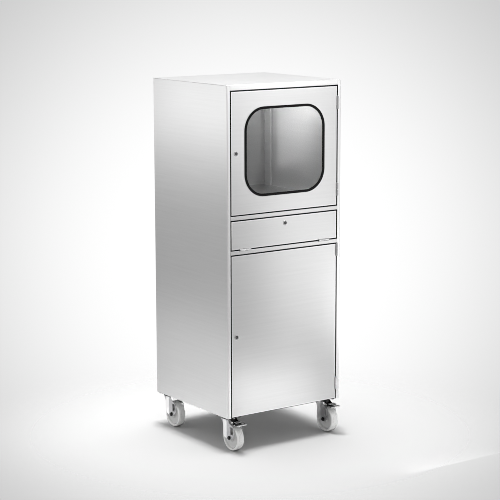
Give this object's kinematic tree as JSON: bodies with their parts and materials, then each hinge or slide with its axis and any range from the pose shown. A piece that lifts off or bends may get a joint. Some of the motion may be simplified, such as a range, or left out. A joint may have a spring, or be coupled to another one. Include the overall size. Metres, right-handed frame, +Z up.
{
  "type": "mobile screen and keyboard cabinet",
  "caption": "Tall stainless cabinet on swivel castors with a windowed upper door, a fold-down flap and a plain lower door.",
  "frame": {"origin": "on the floor, under the middle of the whole object's bounding box", "axes": "+X to the cabinet's right seen from the front, -Y is the front with the doors, +Z up"},
  "size_m": [0.64, 0.658, 1.68],
  "materials": {
    "stainless_steel": "brushed",
    "plated_steel": "satin",
    "black_rubber": "matte",
    "clear_glass": "clear",
    "white_nylon": "moulded"
  },
  "bodies": {
    "cabinet": {"left_side": "stainless_steel", "right_side": "stainless_steel", "top_panel": "stainless_steel", "upper_rail": "stainless_steel", "lower_rail": "stainless_steel", "monitor_floor": "stainless_steel", "keyboard_floor": "stainless_steel", "base_tray": "stainless_steel", "back_panel": "stainless_steel", "upright_front_left": "stainless_steel", "upright_front_right": "stainless_steel", "upright_rear_left": "stainless_steel", "upright_rear_right": "stainless_steel", "upper_door_hinge_top_pin": "stainless_steel", "upper_door_hinge_bottom_pin": "stainless_steel", "flap_hinge_left_pin": "stainless_steel", "flap_hinge_right_pin": "stainless_steel", "lower_door_hinge_top_pin": "stainless_steel", "lower_door_hinge_bottom_pin": "stainless_steel", "front_left_castor_plate": "plated_steel", "front_right_castor_plate": "plated_steel", "rear_left_castor_plate": "plated_steel", "rear_right_castor_plate": "plated_steel"},
    "upper_door": {"upper_door": "stainless_steel", "upper_door_hinge_top_barrel": "stainless_steel", "upper_door_hinge_bottom_barrel": "stainless_steel", "upper_door_lock_housing": "plated_steel", "upper_door_lock_nut": "plated_steel", "window_gasket": "black_rubber", "window_pane": "clear_glass"},
    "upper_door_lock": {"upper_door_lock_plug": "plated_steel", "upper_door_lock_cam": "stainless_steel"},
    "flap": {"flap": "stainless_steel", "flap_hinge_left_barrel": "stainless_steel", "flap_hinge_right_barrel": "stainless_steel", "flap_lock_housing": "plated_steel", "flap_lock_nut": "plated_steel"},
    "flap_lock": {"flap_lock_plug": "plated_steel", "flap_lock_cam": "stainless_steel"},
    "lower_door": {"lower_door": "stainless_steel", "lower_door_hinge_top_barrel": "stainless_steel", "lower_door_hinge_bottom_barrel": "stainless_steel", "lower_door_lock_housing": "plated_steel", "lower_door_lock_nut": "plated_steel"},
    "lower_door_lock": {"lower_door_lock_plug": "plated_steel", "lower_door_lock_cam": "stainless_steel"},
    "front_left_swivel": {"front_left_castor_fork": "plated_steel", "front_left_castor_axle": "plated_steel"},
    "front_left_wheel": {"front_left_castor_wheel": "white_nylon"},
    "front_left_pedal": {"front_left_brake_pedal": "stainless_steel"},
    "front_right_swivel": {"front_right_castor_fork": "plated_steel", "front_right_castor_axle": "plated_steel"},
    "front_right_wheel": {"front_right_castor_wheel": "white_nylon"},
    "front_right_pedal": {"front_right_brake_pedal": "stainless_steel"},
    "rear_left_swivel": {"rear_left_castor_fork": "plated_steel", "rear_left_castor_axle": "plated_steel"},
    "rear_left_wheel": {"rear_left_castor_wheel": "white_nylon"},
    "rear_right_swivel": {"rear_right_castor_fork": "plated_steel", "rear_right_castor_axle": "plated_steel"},
    "rear_right_wheel": {"rear_right_castor_wheel": "white_nylon"}
  },
  "joints": [
    {"name": "upper_door_hinge", "type": "hinge", "parent": "cabinet", "child": "upper_door", "pos_m": [0.301, -0.285, 1.372], "axis": [0, 0, 1], "range_deg": [0, 180]},
    {"name": "flap_hinge", "type": "hinge", "parent": "cabinet", "child": "flap", "pos_m": [0, -0.285, 0.937], "axis": [1, 0, 0], "range_deg": [0, 90]},
    {"name": "lower_door_hinge", "type": "hinge", "parent": "cabinet", "child": "lower_door", "pos_m": [0.301, -0.285, 0.53825], "axis": [0, 0, 1], "range_deg": [0, 180]},
    {"name": "upper_door_lock_turn", "type": "hinge", "parent": "upper_door", "child": "upper_door_lock", "pos_m": [-0.272, -0.283, 1.374], "axis": [0, 1, 0], "range_deg": [0, 90]},
    {"name": "flap_lock_turn", "type": "hinge", "parent": "flap", "child": "flap_lock", "pos_m": [0, -0.283, 1.038], "axis": [0, -1, 0], "range_deg": [0, 90]},
    {"name": "lower_door_lock_turn", "type": "hinge", "parent": "lower_door", "child": "lower_door_lock", "pos_m": [-0.272, -0.283, 0.537], "axis": [0, 1, 0], "range_deg": [0, 90]},
    {"name": "front_left_swivel_turn", "type": "hinge", "parent": "cabinet", "child": "front_left_swivel", "pos_m": [-0.272, -0.216, 0.147], "axis": [0, 0, 1], "continuous": true},
    {"name": "front_left_wheel_roll", "type": "hinge", "parent": "front_left_swivel", "child": "front_left_wheel", "pos_m": [-0.272, -0.256, 0.0625], "axis": [1, 0, 0], "continuous": true},
    {"name": "front_left_pedal_tilt", "type": "hinge", "parent": "front_left_swivel", "child": "front_left_pedal", "pos_m": [-0.272, -0.254, 0.146], "axis": [1, 0, 0], "range_deg": [-12, 0]},
    {"name": "front_right_swivel_turn", "type": "hinge", "parent": "cabinet", "child": "front_right_swivel", "pos_m": [0.272, -0.216, 0.147], "axis": [0, 0, 1], "continuous": true},
    {"name": "front_right_wheel_roll", "type": "hinge", "parent": "front_right_swivel", "child": "front_right_wheel", "pos_m": [0.272, -0.256, 0.0625], "axis": [1, 0, 0], "continuous": true},
    {"name": "front_right_pedal_tilt", "type": "hinge", "parent": "front_right_swivel", "child": "front_right_pedal", "pos_m": [0.272, -0.254, 0.146], "axis": [1, 0, 0], "range_deg": [-12, 0]},
    {"name": "rear_left_swivel_turn", "type": "hinge", "parent": "cabinet", "child": "rear_left_swivel", "pos_m": [-0.272, 0.278, 0.147], "axis": [0, 0, 1], "continuous": true},
    {"name": "rear_left_wheel_roll", "type": "hinge", "parent": "rear_left_swivel", "child": "rear_left_wheel", "pos_m": [-0.272, 0.238, 0.0625], "axis": [1, 0, 0], "continuous": true},
    {"name": "rear_right_swivel_turn", "type": "hinge", "parent": "cabinet", "child": "rear_right_swivel", "pos_m": [0.272, 0.278, 0.147], "axis": [0, 0, 1], "continuous": true},
    {"name": "rear_right_wheel_roll", "type": "hinge", "parent": "rear_right_swivel", "child": "rear_right_wheel", "pos_m": [0.272, 0.238, 0.0625], "axis": [1, 0, 0], "continuous": true}
  ]
}
